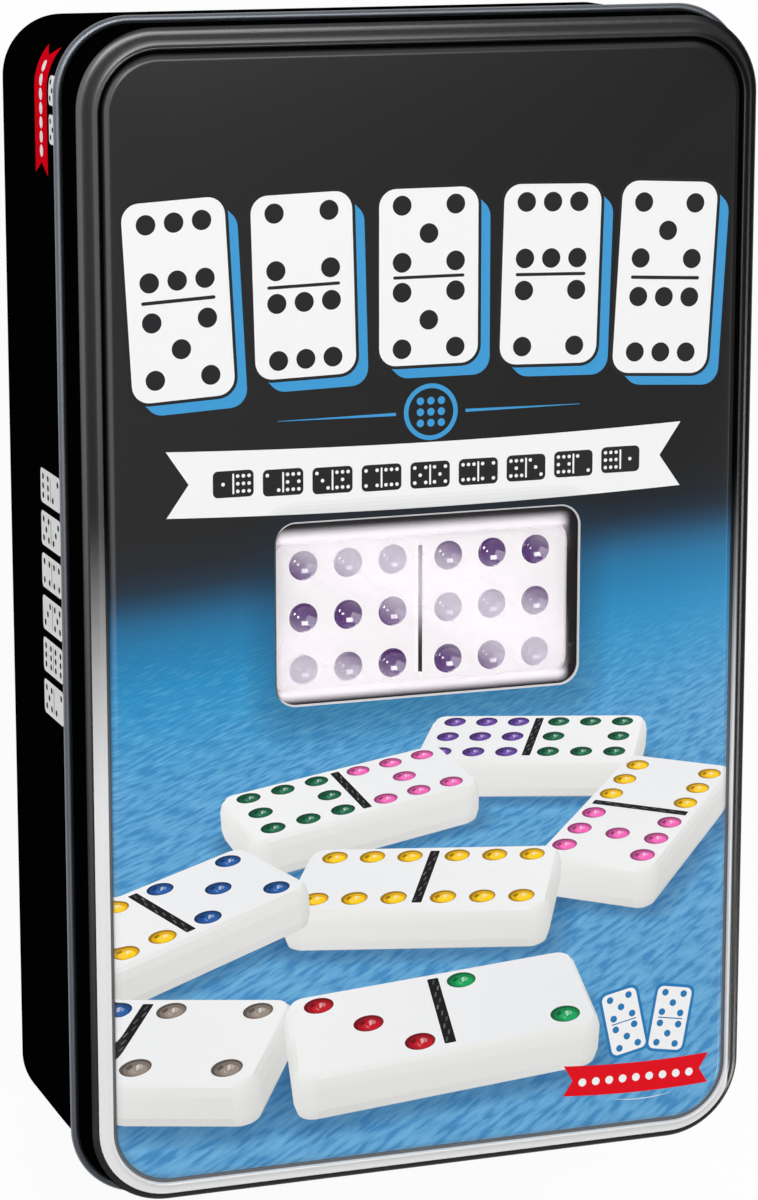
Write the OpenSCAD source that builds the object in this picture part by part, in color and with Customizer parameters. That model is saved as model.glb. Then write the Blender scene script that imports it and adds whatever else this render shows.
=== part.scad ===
// Tin storage box for a double-nine set of dominoes. Millimetres.
// The box lies on its base: X runs across it, Y along it and Z up through the lid.
// The origin is the middle of the underside. A slip lid with a window covers a plain drawn base.
// Inside, a formed tray holds the stacked dominoes, and a formed cover over them carries
// the one domino that shows in the window. The tin is sized around the dominoes.

/* [Dominoes] */
// Length of a domino
tile_l = 50.8; // [44:0.1:56]
// Width of a domino
tile_w = 26; // [22:0.1:30]
// Thickness of a domino
tile_t = 9.1; // [6:0.1:12]
// Radius of a domino's corners, seen from above
tile_corner_r = 3.6; // [1.5:0.1:5]
// Radius of the rounding along its edges
tile_edge_r = 1.2; // [0.4:0.1:2]
// Space between neighbouring dominoes, and between them and the tray
tile_gap = 0.15; // [0.05:0.05:0.6]
// Diameter of a pip at the face
pip_d = 4.5; // [3:0.1:5.5]
// Depth of a pip
pip_depth = 0.9; // [0.3:0.1:1.5]
// Distance between pips along the domino
pip_pitch_l = 7.45; // [5:0.05:8]
// Distance between pips across the domino
pip_pitch_w = 8.4; // [5:0.05:9]
// Distance from the dividing line to the middle pips of a half
half_centre = 12.15; // [11:0.05:13]
// Length of the dividing line
divider_l = 20.7; // [10:0.1:24]
// Width of the dividing line
divider_w = 0.55; // [0.3:0.05:1.5]
// Depth of the dividing line
divider_depth = 0.3; // [0.1:0.05:0.8]

/* [Tin] */
// Thickness of the tinplate
sheet = 0.3; // [0.2:0.05:0.5]
// Corner radius of the base, outside
base_corner_r = 9.8; // [8:0.1:14]
// Extra room between the tray and the long walls, past what the corners need
side_spare = 0.2; // [0:0.05:4]
// Radius of the bend between the wall and the floor of the base
base_bend_r = 2; // [1:0.1:3]
// Width of the rim that the base stands on
foot_w = 3.5; // [2.5:0.1:6]
// Height of the floor panel above that rim
floor_step = 0.5; // [0.2:0.1:1.5]
// Height of the folded hem at the mouth of the base
hem_h = 2.4; // [1:0.1:4]

/* [Lid] */
// Clearance between the lid's skirt and the base
lid_gap = 0.6; // [0.3:0.05:1]
// Depth of the skirt, from the panel down to the middle of its curl
skirt_h = 8.9; // [6:0.1:16]
// Radius of the curl along the skirt's lower edge
curl_r = 0.7; // [0.5:0.05:1]
// Drop from the panel to the valley behind the rolled edge, which rests on the base
valley_drop = 0.55; // [0.5:0.05:0.8]
// Depth of the groove round the panel
groove_depth = 1; // [0.7:0.05:1.4]
// Depth of the domino's face under the panel
window_depth = 3; // [2.2:0.1:5]
// Width of the window, across the lid
window_w = 50.8; // [44:0.1:56]
// Length of the window, along the lid
window_l = 29; // [22:0.1:34]
// Corner radius of the window
window_r = 3.2; // [1.5:0.1:6]
// Place of the window's middle across the lid
window_x = 0.45; // [-2:0.05:2]
// Place of the window's middle along the lid
window_y = 1.2; // [-2:0.05:2]
// Width of the hem folded under the panel round the window
window_hem = 1.6; // [1:0.1:3]
// Thickness of the clear pane
pane_t = 0.3; // [0.2:0.05:0.6]
// How far the pane reaches past the window on every side
pane_margin = 4; // [2:0.1:8]

/* [Tray and cover] */
// Thickness of the formed plastic sheet of the tray and the cover
formed_t = 0.35; // [0.25:0.05:0.6]
// Clearance between them and the inside of the base's hem
formed_gap = 0.1; // [0.05:0.05:0.5]
// Height of the tray
tray_h = 33; // [20:0.5:36]
// Width of the raised deck on the cover, across the box
deck_w = 84; // [78:1:100]
// Length of the raised deck on the cover, along the box
deck_l = 62; // [44:1:120]
// Corner radius of the raised deck
deck_r = 8; // [4:0.5:12]
// How far the domino in the pocket stands out of the deck
deck_drop = 0.6; // [0.2:0.1:3]
// Clearance between that domino and its pocket
pocket_gap = 0.2; // [0.1:0.05:0.6]
// Radius of the thumb notches at the ends of the pocket
notch_r = 7.5; // [5:0.5:9]

/* [Hidden] */
$fn = 48;
LAYERS = 4;
COLUMNS = 4;
ROWS = 3;
PER_LAYER = COLUMNS * ROWS + 2;
// Every domino of the set, from double blank to double nine.
SET = [for (a = [0:9]) for (b = [0:a]) [a, b]];
function domino_name(i) = str("domino_", SET[i][0], "_", SET[i][1]);
SHOWN = len(SET) - 1;

TINPLATE = [0.03, 0.03, 0.035];
IVORY = [0.94, 0.93, 0.92];
FORMED_BLACK = [0.07, 0.07, 0.08];
CLEAR = [0.85, 0.9, 0.95, 0.35];

// The tray's hollow is the set's own footprint: columns of dominoes along the box,
// and one pair across it at the near end.
hollow_w = COLUMNS * tile_w + (COLUMNS + 1) * tile_gap;
hollow_l = ROWS * tile_l + tile_w + (ROWS + 2) * tile_gap;
hollow_r = tile_corner_r + tile_gap / 2;
// A square-cornered stack of dominoes needs this much room in a round-cornered tin.
corner_step = base_corner_r - sheet - hollow_r;
formed_room = formed_t + formed_gap + sheet;
corner_room = corner_step * (1 - sqrt(0.5)) + formed_room * sqrt(0.5);
inner_w = hollow_w + 2 * (corner_room + side_spare);
inner_l = hollow_l + 2 * corner_room;
base_w = inner_w + 2 * sheet;
base_l = inner_l + 2 * sheet;
// How far a flat panel reaches over the edge that is carried round it.
lap = 0.15;
lid_grow = lid_gap + sheet;
lid_w = base_w + 2 * lid_grow;
lid_l = base_l + 2 * lid_grow;
lid_corner_r = base_corner_r + lid_grow;
// Heights, from the floor up.
tray_z = floor_step + sheet;
stack_z = tray_z + formed_t;
layer_z = [for (i = [0:LAYERS]) stack_z + i * tile_t];
cover_z = layer_z[LAYERS];
shown_z = cover_z + formed_t;
deck_z = shown_z + tile_t - deck_drop;
tin_h = shown_z + tile_t + window_depth;
base_h = tin_h - valley_drop - sheet;
// Outline of the formed pieces, which pass the hem with formed_gap to spare.
formed_in = sheet + formed_gap;
formed_w = inner_w - 2 * formed_in;
formed_l = inner_l - 2 * formed_in;
formed_r = base_corner_r - sheet - formed_in;
pocket_w = tile_l + 2 * pocket_gap;
pocket_l = tile_w + 2 * pocket_gap;
pocket_r = tile_corner_r + pocket_gap;

// Rounded rectangle, as plain shapes so that its corners stay true arcs.
module plate(w, l, r) {
    square([w - 2 * r, l], center = true);
    square([w, l - 2 * r], center = true);
    for (x = [-1, 1])
        for (y = [-1, 1])
            translate([x * (w / 2 - r), y * (l / 2 - r)])
                circle(r);
}

// Carries a section round a rounded rectangle. In the section, x = 0 is the outer face
// and x below 0 is further in.
module carry_round(w, l, r) {
    for (side = [0:3]) {
        reach = side % 2 == 0 ? w / 2 : l / 2;
        run = (side % 2 == 0 ? l : w) - 2 * r;
        rotate([0, 0, 90 * side])
            translate([reach, run / 2, 0])
                rotate([90, 0, 0])
                    linear_extrude(run)
                        children();
    }
    for (x = [-1, 1])
        for (y = [-1, 1])
            translate([x * (w / 2 - r), y * (l / 2 - r), 0])
                rotate([0, 0, x > 0 ? (y > 0 ? 0 : 270) : (y > 0 ? 90 : 180)])
                    rotate_extrude(angle = 90)
                        translate([r, 0])
                            children();
}

// Unit normal of the stretch from p to q, on its right, which is the inner side of the sheet.
function inner_normal(p, q) = [q[1] - p[1], p[0] - q[0]] / norm(q - p);

// The point t inside the corner p, between the stretches towards it and away from it.
function mitre(before, after, p, t) = p + t * (before + after) / (1 + before * after);

// Section of a sheet t thick whose outer face follows the points, with the inside on the right.
module sheet_section(points, t) {
    last = len(points) - 1;
    normals = [for (i = [0:last - 1]) inner_normal(points[i], points[i + 1])];
    inner = [for (i = [last:-1:0])
        mitre(normals[max(i - 1, 0)], normals[min(i, last - 1)], points[i], t)];
    polygon(concat(points, inner));
}

// Base: wall with a hem folded inside its mouth, bent into a foot rim, and a raised floor.
module base_shell() {
    bend = [for (i = [0:4])
        base_bend_r * [cos(22.5 * i) - 1, 1 - sin(22.5 * i)]];
    foot_in = base_bend_r + foot_w;
    panel_in = foot_in + 2 * floor_step;
    wall = concat([[0, base_h]], bend, [[-foot_in, 0], [-panel_in + floor_step, floor_step]],
        [[-panel_in, floor_step]]);
    panel_inset = panel_in - lap;
    color(TINPLATE) {
        carry_round(base_w, base_l, base_corner_r) {
            sheet_section(wall, sheet);
            translate([-2 * sheet, base_h - hem_h])
                square([2 * sheet, hem_h]);
        }
        translate([0, 0, floor_step])
            linear_extrude(sheet)
                plate(base_w - 2 * panel_inset, base_l - 2 * panel_inset,
                    base_corner_r - panel_inset);
    }
}

// Lid: a flat panel with a hemmed window, and round it a bevel, groove, ridge, valley,
// rolled edge, skirt and curl.
module lid_shell() {
    panel_in = 5;
    panel_inset = panel_in - lap;
    bevel = [[-panel_in, 0], [-4.7, 0], [-4.5, -0.15]];
    groove = [[-4.1, -0.75], [-3.95, -groove_depth], [-3.55, -groove_depth], [-3.3, -0.45]];
    ridge = [[-2.9, -0.3], [-2.5, -0.4], [-2.1, -valley_drop], [-1.35, -valley_drop]];
    edge = [[-0.95, -0.42], [-0.5, -0.55], [-0.15, -0.95], [0, -1.5], [0, -skirt_h]];
    color(TINPLATE)
        translate([0, 0, tin_h]) {
            carry_round(lid_w, lid_l, lid_corner_r) {
                sheet_section(concat(bevel, groove, ridge, edge), sheet);
                translate([curl_r - 0.7 * sheet, -skirt_h])
                    difference() {
                        circle(curl_r);
                        circle(curl_r - sheet);
                    }
            }
            translate([0, 0, -sheet])
                linear_extrude(sheet)
                    difference() {
                        plate(lid_w - 2 * panel_inset, lid_l - 2 * panel_inset,
                            lid_corner_r - panel_inset);
                        window_outline(0);
                    }
            translate([0, 0, -2 * sheet])
                linear_extrude(sheet)
                    difference() {
                        window_outline(window_hem);
                        window_outline(0);
                    }
        }
}

module window_outline(grow) {
    translate([window_x, window_y])
        plate(window_w + 2 * grow, window_l + 2 * grow, window_r + grow);
}

// Clear pane, glued to the hem behind the window.
module window_pane() {
    color(CLEAR)
        translate([0, 0, tin_h - 2 * sheet - pane_t])
            linear_extrude(pane_t)
                window_outline(pane_margin);
}

// Tray: one thin formed sheet, a flat-bottomed basin with a flange out to the tin.
module insert_tray() {
    color(FORMED_BLACK)
        translate([0, 0, tray_z]) {
            linear_extrude(formed_t)
                basin_outline(formed_t);
            linear_extrude(tray_h)
                difference() {
                    basin_outline(formed_t);
                    basin_outline(0);
                }
            translate([0, 0, tray_h - formed_t])
                linear_extrude(formed_t)
                    difference() {
                        plate(formed_w, formed_l, formed_r);
                        basin_outline(0);
                    }
        }
}

module basin_outline(grow) {
    plate(hollow_w + 2 * grow, hollow_l + 2 * grow, hollow_r + grow);
}

// Cover: one thin formed sheet that lies on the dominoes, with a raised deck
// and in it the pocket for the domino that shows.
module tray_cover() {
    color(FORMED_BLACK)
        translate([0, 0, cover_z]) {
            linear_extrude(formed_t)
                difference() {
                    plate(formed_w, formed_l, formed_r);
                    plate(deck_w, deck_l, deck_r);
                }
            linear_extrude(deck_z - cover_z)
                difference() {
                    plate(deck_w + 2 * formed_t, deck_l + 2 * formed_t, deck_r + formed_t);
                    plate(deck_w, deck_l, deck_r);
                }
            linear_extrude(deck_z - cover_z)
                difference() {
                    pocket_outline(formed_t);
                    pocket_outline(0);
                }
            translate([0, 0, deck_z - cover_z - formed_t])
                linear_extrude(formed_t)
                    difference() {
                        plate(deck_w + 2 * formed_t, deck_l + 2 * formed_t, deck_r + formed_t);
                        pocket_outline(0);
                    }
            linear_extrude(formed_t)
                pocket_outline(formed_t);
        }
}

module pocket_outline(grow) {
    plate(pocket_w + 2 * grow, pocket_l + 2 * grow, pocket_r + grow);
    for (x = [-1, 1])
        translate([x * pocket_w / 2, 0])
            circle(notch_r + grow);
}

// Places of the pips of one half, in steps of the pitch from its middle.
function pip_spots(n) = concat(
    n % 2 == 1 ? [[0, 0]] : [],
    n > 1 ? [[-1, 1], [1, -1]] : [],
    n > 3 ? [[-1, -1], [1, 1]] : [],
    n > 5 ? [[0, -1], [0, 1]] : [],
    n > 7 ? [[-1, 0], [1, 0]] : []);

// One domino, lying on z = 0 with its length along X.
module domino(a, b) {
    pip_r = (pip_d * pip_d / 4 + pip_depth * pip_depth) / (2 * pip_depth);
    color(IVORY)
        difference() {
            intersection() {
                linear_extrude(tile_t)
                    plate(tile_l, tile_w, tile_corner_r);
                translate([0, tile_w / 2, tile_t / 2])
                    rotate([90, 0, 0])
                        linear_extrude(tile_w)
                            plate(tile_l, tile_t, tile_edge_r);
                translate([-tile_l / 2, 0, tile_t / 2])
                    rotate([90, 0, 90])
                        linear_extrude(tile_l)
                            plate(tile_w, tile_t, tile_edge_r);
            }
            translate([-divider_w / 2, -divider_l / 2, tile_t - divider_depth])
                cube([divider_w, divider_l, divider_depth + 1]);
            for (half = [[-half_centre, a], [half_centre, b]])
                for (spot = pip_spots(half[1]))
                    translate([half[0] + spot[0] * pip_pitch_l, spot[1] * pip_pitch_w,
                        tile_t + pip_r - pip_depth])
                        sphere(pip_r);
        }
}

// Moves a domino to its place: the last one to the pocket, the others to the tray,
// layer by layer. Each layer fills its columns first and its pair across the end last.
module in_place(i) {
    layer = floor(i / PER_LAYER);
    spot = i % PER_LAYER;
    near_end = -hollow_l / 2 + tile_gap;
    if (i == SHOWN)
        translate([0, 0, shown_z])
            children();
    else if (spot < COLUMNS * ROWS)
        translate([(spot % COLUMNS - (COLUMNS - 1) / 2) * (tile_w + tile_gap),
            near_end + tile_w + tile_l / 2 + tile_gap
                + floor(spot / COLUMNS) * (tile_l + tile_gap),
            layer_z[layer]])
            rotate([0, 0, 90])
                children();
    else
        translate([(spot - COLUMNS * ROWS - 0.5) * (tile_l + tile_gap),
            near_end + tile_w / 2, layer_z[layer]])
            children();
}

base_shell();
insert_tray();
tray_cover();
window_pane();
lid_shell();
for (i = [0:SHOWN])
    in_place(i) domino(SET[i][0], SET[i][1]);
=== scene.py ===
"""Looks of a domino storage box: a printed tin with a window, a formed tray and cover, and 55 dominoes.

Shapes are worked out in millimetres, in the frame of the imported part, and turned into metres
when a mesh is made. X runs across the box, Y along it and Z up through the lid.
"""

import math

import bpy
import numpy as np
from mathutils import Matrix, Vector, geometry


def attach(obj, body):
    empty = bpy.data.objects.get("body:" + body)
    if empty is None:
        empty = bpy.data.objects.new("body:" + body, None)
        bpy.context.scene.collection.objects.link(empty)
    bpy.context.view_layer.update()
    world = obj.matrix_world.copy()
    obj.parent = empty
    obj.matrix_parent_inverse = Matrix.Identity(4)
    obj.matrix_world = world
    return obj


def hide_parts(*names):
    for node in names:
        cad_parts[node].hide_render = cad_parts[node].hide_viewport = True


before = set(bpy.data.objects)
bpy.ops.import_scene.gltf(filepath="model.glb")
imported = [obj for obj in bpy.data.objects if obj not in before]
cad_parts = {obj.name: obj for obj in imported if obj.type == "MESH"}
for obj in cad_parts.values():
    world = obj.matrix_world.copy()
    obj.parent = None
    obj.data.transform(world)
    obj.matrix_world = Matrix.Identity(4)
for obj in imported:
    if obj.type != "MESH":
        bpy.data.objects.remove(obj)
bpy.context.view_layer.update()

MM = 0.001

# Tin, tray and cover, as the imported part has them.
SHEET = 0.3
LID_W, LID_L, TIN_H = 112.023, 186.023, 50.0
BASE_W, BASE_L, BASE_H = 110.223, 184.223, 49.15
FORMED_W, FORMED_L, FORMED_T = 108.823, 182.823, 0.35
HOLLOW_W, HOLLOW_L, HOLLOW_R = 104.75, 179.15, 3.675
TRAY_Z, TRAY_TOP = 0.8, 33.8
COVER_Z, DECK_Z = 37.55, 46.4
DECK_W, DECK_L, DECK_R = 84.0, 62.0, 8.0
POCKET_PLAY, NOTCH_R = 0.2, 7.5
BASE_HEM, WINDOW_HEM = 2.4, 1.6
PANE_REACH, PANE_HALF, PANE_Z = 4.0, 0.15, 49.25
SHOWN_Z = 37.9
LAYER_Z = [1.15, 10.25, 19.35, 28.45]
WINDOW = dict(w=50.8, l=29.0, r=3.2, x=0.45, y=1.2)
# Corner radii: the base's and how far it opens towards the mouth, the lid's at its curl and how
# far it grows up to the roll, and those of the formed pieces' flanges and of the hidden pane, which
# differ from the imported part's.
BASE_R, BASE_OPENS = 9.8, 0.6
LID_R, LID_GROWS = 10.7, 1.9
FLANGE_R, PANE_R = 9.6, 1.5
# Dominoes.
TILE_L, TILE_W, TILE_T = 50.8, 26.0, 9.1
TILE_CORNER, TILE_EDGE = 3.6, 0.9
TILE_GAP = 0.15
PIP_R, PIP_DEPTH = 2.25, 0.9
PITCH_L, PITCH_W, HALF_CENTRE = 7.45, 8.4, 12.15
GROOVE_HALF, GROOVE_END, GROOVE_DEEP = 0.275, 10.3, 0.34
COLUMNS, ROWS, PER_LAYER = 4, 3, 14
SET = [(a, b) for a in range(10) for b in range(a + 1)]
SHOWN = len(SET) - 1
# How far the panel sits to the right of and behind the roll's middle, and how much shorter it is.
SLIP_X, SLIP_Y, SLIP_L = 0.5, -0.35, 0.15
# The printed table scene: the drawn camera's angle above the table, its distance and zoom, and
# the panel's point that it looks at.
TABLE_ANGLE = math.radians(33)
TABLE_RANGE, TABLE_ZOOM = 268.0, 272.0
TABLE_POINT = (0.0, -74.0)


def srgb(r, g, b):
    """Linear colour of an 8-bit display colour."""
    c = np.array([r, g, b]) / 255.0
    return tuple(np.where(c <= 0.04045, c / 12.92, ((c + 0.055) / 1.055) ** 2.4))


# ---------------------------------------------------------------- materials


class Value:
    """A socket of a material under way. Arithmetic on it adds Math nodes."""

    def __init__(self, paint, socket):
        self.paint, self.socket = paint, socket

    def math(self, operation, *others):
        return self.paint.node("ShaderNodeMath", {"operation": operation}, self, *others)

    def __add__(self, other):
        return self.math("ADD", other)

    def __mul__(self, other):
        return self.math("MULTIPLY", other)

    def __sub__(self, other):
        return self.math("SUBTRACT", other)

    def __rsub__(self, other):
        return self.paint.node("ShaderNodeMath", {"operation": "SUBTRACT"}, other, self)

    def __truediv__(self, other):
        return self.math("DIVIDE", other)

    __radd__, __rmul__ = __add__, __mul__

    def between(self, low, high):
        """0 below low, 1 above high, and a smooth step from one to the other."""
        settings = {"interpolation_type": "SMOOTHSTEP"}
        return self.paint.node("ShaderNodeMapRange", settings, self, low, high, 0.0, 1.0)


class Paint:
    """A material under way: `node` adds any node, `coat` sets the main shader's own sockets."""

    def __init__(self, name):
        self.material = bpy.data.materials.new(name)
        self.material.use_nodes = True
        self.tree = self.material.node_tree
        self.shader = self.tree.nodes["Principled BSDF"]

    def feed(self, socket, value):
        if isinstance(value, Value):
            self.tree.links.new(value.socket, socket)
        elif isinstance(value, tuple):
            socket.default_value = (*value, 1.0) if len(socket.default_value) == 4 else value
        else:
            socket.default_value = value

    def node(self, kind, settings, *values, out=0, **named):
        made = self.tree.nodes.new(kind)
        for key, value in settings.items():
            if key == "stops":
                self.set_stops(made.color_ramp, value)
            else:
                setattr(made, key, value)
        for index, value in enumerate(values):
            self.feed(made.inputs[index], value)
        for key, value in named.items():
            self.feed(made.inputs[key.replace("_", " ")], value)
        return Value(self, made.outputs[out])

    def set_stops(self, ramp, stops):
        ramp.elements[0].position, ramp.elements[1].position = stops[0][0], stops[-1][0]
        for place, _ in stops[1:-1]:
            ramp.elements.new(place)
        for element, (_, colour) in zip(ramp.elements, stops):
            element.color = (*colour, 1.0)

    def spot(self):
        """X, Y and Z of the point, in millimetres."""
        place = self.node("ShaderNodeTexCoord", {}, out=3)
        scaled = self.node("ShaderNodeVectorMath", {"operation": "SCALE"}, place, Scale=1000.0)
        parts = [self.node("ShaderNodeSeparateXYZ", {}, scaled, out=axis) for axis in range(3)]
        return scaled, parts

    def noise(self, place, size, detail=2.0):
        """Soft noise from 0 to 1, with blotches about size millimetres wide."""
        return self.node(
            "ShaderNodeTexNoise", {}, Vector=place, Scale=1.0 / size, Detail=detail
        )

    def mix(self, share, first, second, blend="MIX"):
        """First colour where share is 0, second where it is 1."""
        made = self.tree.nodes.new("ShaderNodeMix")
        made.data_type, made.blend_type = "RGBA", blend
        for index, value in ((0, share), (6, first), (7, second)):
            self.feed(made.inputs[index], value)
        return Value(self, made.outputs[2])

    def bump(self, height, depth):
        """Normal of a surface raised by height times depth millimetres."""
        return self.node("ShaderNodeBump", {}, Strength=1.0, Distance=depth * MM, Height=height)

    def coat(self, **sockets):
        for key, value in sockets.items():
            self.feed(self.shader.inputs[key.replace("_", " ")], value)
        return self.material


def gloss_coat(name, colour, roughness, specular, bump=0.02, speckle=0.06, size=9.0, clear=0.0):
    """Lacquer or moulding of one colour, with faint mottling and a slightly uneven skin. speckle is
    how much darker its blotches are, size their width, and clear the weight of a clear coat."""
    paint = Paint(name)
    place, _ = paint.spot()
    blotch = paint.noise(place, size)
    darker = tuple(max(c * (1 - speckle), 0.0) for c in colour)
    fine = paint.noise(place, size * 0.12, 3.0)
    return paint.coat(
        Base_Color=paint.mix(blotch, darker, colour),
        Roughness=fine * 0.08 + (roughness - 0.04),
        Specular_IOR_Level=specular,
        Coat_Weight=clear,
        Coat_Roughness=0.05,
        Coat_IOR=1.8,
        Normal=paint.bump(blotch + fine * 0.15, bump),
    )


def bare_steel(name, colour, roughness):
    """Bare tinplate: bright metal with fine rolling streaks along the box."""
    paint = Paint(name)
    _, (x, y, z) = paint.spot()
    streak = paint.node("ShaderNodeCombineXYZ", {}, x * 3.0, y * 0.12, z * 3.0)
    grain = paint.noise(streak, 1.0, 3.0)
    return paint.coat(
        Base_Color=paint.mix(grain, tuple(c * 0.86 for c in colour), colour),
        Metallic=1.0,
        Roughness=grain * 0.14 + (roughness - 0.07),
        Normal=paint.bump(grain, 0.004),
    )


def ring_coat(name, bright, specular):
    """The lid's rim: black lacquer at the far end that turns bright towards the near end, and painted
    shade that keeps the roll's right flank black, where it faces away from the light."""
    black_to, bright_from = -20.0, 34.0
    painted_shade_from, painted_shade_to = 53.8, 54.15
    paint = Paint(name)
    place, (x, y, _) = paint.spot()
    share = (y * -1.0 + paint.noise(place, 14.0) * 3.0).between(black_to, bright_from)
    # Painted shade: the roll's right flank stays black, as it faces away from the light.
    share = share * x.between(painted_shade_to, painted_shade_from)
    fine = paint.noise(place, 1.6, 2.0)
    return paint.coat(
        Base_Color=paint.mix(share, srgb(7, 7, 8), bright),
        Roughness=fine * 0.03 + 0.25,
        Specular_IOR_Level=specular,
        Coat_Weight=specular * 0.6,
        Coat_Roughness=0.24,
        Normal=paint.bump(fine, 0.0008),
    )


def print_coat(name):
    """Printed panel: inks from the mesh's own colours over a ground that runs from black at the far
    end to blue cloth at the near end."""
    paint = Paint(name)
    place, (x, y, _) = paint.spot()
    ink = paint.node("ShaderNodeVertexColor", {"layer_name": "ink"})
    cover = Value(paint, ink.socket.node.outputs[1])
    along = y - x * 0.087
    # The ground's display colours, by the place along the panel in millimetres.
    ground_stops = [
        (20.0, (40, 40, 40)), (15.2, (40, 42, 45)), (12.8, (39, 47, 57)), (10.5, (38, 56, 72)),
        (8.1, (39, 77, 107)), (5.8, (41, 99, 138)), (2.6, (40, 117, 163)), (-0.5, (41, 126, 175)),
        (-5.2, (46, 140, 190)), (-10.0, (60, 149, 199)), (-16.0, (76, 155, 204)),
        (-22.0, (90, 160, 207)), (-40.0, (97, 163, 209)), (-90.0, (99, 164, 210)),
    ]
    low, high = -95.0, 25.0
    stops = [((s - low) / (high - low), srgb(*c)) for s, c in reversed(ground_stops)]
    # The cloth's ripples lie on the drawn table, so the panel's point is taken back to it.
    rise, run = math.sin(TABLE_ANGLE), math.cos(TABLE_ANGLE)
    height = TABLE_RANGE * rise
    up = (y - TABLE_POINT[1]) / TABLE_ZOOM
    away = height * (run + up * rise) / (rise - up * run).math("MAXIMUM", 0.1)
    deep = away * run + height * rise
    aside = x * deep / TABLE_ZOOM
    fast, slow = away * 0.66 - aside * 0.75, aside * 0.66 + away * 0.75
    table = paint.node("ShaderNodeCombineXYZ", {}, fast * 0.8, slow * 0.17, 0.0)
    soft = paint.node("ShaderNodeCombineXYZ", {}, fast * 0.16, slow * 0.05, 5.0)
    ripples, swell = paint.noise(table, 1.0, 3.0), paint.noise(soft, 1.0, 2.0)
    cloth = y.math("MULTIPLY", -1.0).between(-6.0, 24.0)
    shift = (swell - 0.5) * cloth * 9.0
    ramp = paint.node("ShaderNodeValToRGB", {"stops": stops}, (along + shift - low) / (high - low))
    # Painted shade: in the black far part the ground darkens towards the right, standing in for reflection
    # that is stronger on the left.
    tone = 1.0 - (x + 50.0) * 0.0045 * (1.0 - y.math("MULTIPLY", -1.0).between(-17.0, -6.0))
    toned = paint.node("ShaderNodeVectorMath", {"operation": "SCALE"}, ramp, Scale=tone)
    toned = paint.mix(ripples.between(0.53, 0.36) * cloth * 0.6, toned, srgb(34, 118, 180))
    toned = paint.mix(ripples.between(0.5, 0.68) * cloth * 0.34, toned, srgb(132, 196, 234))
    fine = paint.noise(place, 0.5, 2.0)
    # The bevel round the panel shines more than the panel.
    corner, bevel_from, bevel_to = LID_R + LID_GROWS, 7.7, 8.3
    out_x = ((x - SLIP_X).math("ABSOLUTE") - (LID_W / 2 - corner)).math("MAXIMUM", 0.0)
    out_y = ((y - SLIP_Y).math("ABSOLUTE") - (LID_L / 2 - SLIP_L - corner)).math("MAXIMUM", 0.0)
    reach = (out_x * out_x + out_y * out_y).math("SQRT")
    return paint.coat(
        Base_Color=paint.mix(cover, toned, ink),
        Roughness=fine * 0.07 + 0.27,
        Specular_IOR_Level=0.2,
        Coat_Weight=reach.between(bevel_from, bevel_to),
        Coat_Roughness=0.24,
        Normal=paint.bump(fine, 0.0025),
    )


def ink_coat(name):
    """Inks printed on the lacquered wall: colours from the mesh's own attribute."""
    paint = Paint(name)
    place, _ = paint.spot()
    ink = paint.node("ShaderNodeVertexColor", {"layer_name": "ink"})
    fine = paint.noise(place, 0.6, 2.0)
    return paint.coat(
        Base_Color=paint.mix(fine * 0.1, ink, (0.0, 0.0, 0.0)),
        Roughness=fine * 0.1 + 0.25,
        Specular_IOR_Level=0.0,
        Normal=paint.bump(fine, 0.003),
    )


def film_coat(name):
    """Clear film: nearly invisible, with painted glare in milky slanting bands over the domino, and
    painted light in milky strips along the window's near and far edges."""
    band_x, band_slope, band_pitch = 7.95, 1.77, 44.7
    paint = Paint(name)
    _, (x, y, _) = paint.spot()
    # Painted glare: milky slanting bands over the domino, standing in for a reflection on the film.
    band = ((x - band_x + y * band_slope) * (2 * math.pi / band_pitch)).math("COSINE")
    painted_glare = (band * 0.5 + 0.5).between(-0.05, 1.05)
    side_x = (x + 0.4).math("ABSOLUTE").between(25.2, 23.4)
    side_y = (y - 0.5).math("ABSOLUTE").between(13.0, 11.6)
    # Painted light: milky strips along the near and far edges, over the dark gaps beside the domino.
    near = y.between(-10.8, -11.7) * y.between(-13.3, -11.8)
    far = y.between(12.2, 13.0) * y.between(15.1, 13.0)
    edge = (near + far) * (x + 0.5).math("ABSOLUTE").between(25.3, 23.0)
    return paint.coat(
        Base_Color=srgb(254, 248, 254),
        Roughness=0.1,
        Alpha=painted_glare * side_x * side_y * 0.3 + edge * 0.6 + 0.01,
        Specular_IOR_Level=0.3,
    )


def hem_coat(name):
    """White folded edge of the window, with painted shade along its left side, which faces away from the
    light.
    """
    paint = Paint(name)
    place, (x, _, _) = paint.spot()
    # Painted shade: darker along the left side, which faces away from the light.
    share = (x + paint.noise(place, 6.0) * 0.4).between(-24.9, -23.6)
    return paint.coat(
        Base_Color=paint.mix(share, srgb(52, 52, 54), srgb(206, 206, 208)),
        Roughness=0.2,
        Specular_IOR_Level=0.5,
    )


# Linear colours of the enamel in the pips, by the number of pips.
PIP_COLOURS = {
    1: (0.10, 0.42, 0.72),
    2: (0.02, 0.36, 0.13),
    3: (0.50, 0.01, 0.02),
    4: (0.24, 0.19, 0.15),
    5: (0.02, 0.09, 0.34),
    6: (0.86, 0.52, 0.01),
    7: (0.74, 0.13, 0.40),
    8: (0.005, 0.10, 0.05),
    9: (0.085, 0.012, 0.17),
}

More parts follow.
